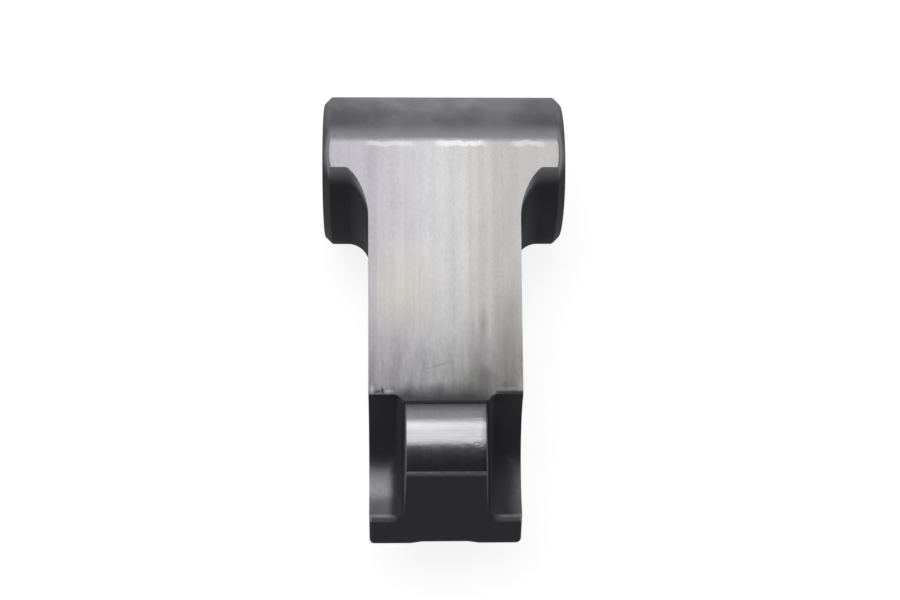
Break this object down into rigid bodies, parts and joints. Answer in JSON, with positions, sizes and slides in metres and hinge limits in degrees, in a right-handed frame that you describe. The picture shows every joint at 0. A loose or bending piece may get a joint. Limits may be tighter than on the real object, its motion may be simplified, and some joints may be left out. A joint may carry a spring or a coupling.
{
  "type": "rocker arm",
  "caption": "T-shaped forged rocker arm: a wide bushed hub at one end, a ground flat arm and a convex cam pad between two scoops at the toe.",
  "frame": {"origin": "middle of the shaft bore, on its axis", "axes": "+Y along the shaft bore, +X from the hub towards the toe, +Z out of the ground flat and the cam pad"},
  "size_m": [0.1208, 0.064, 0.042],
  "materials": {
    "forged_steel": "dark forged skin with a ground bright flat and a polished pad",
    "bronze": "bored bronze, satin"
  },
  "bodies": {
    "root": {"arm_body": "forged_steel", "shaft_bushing": "bronze"}
  },
  "joints": []
}
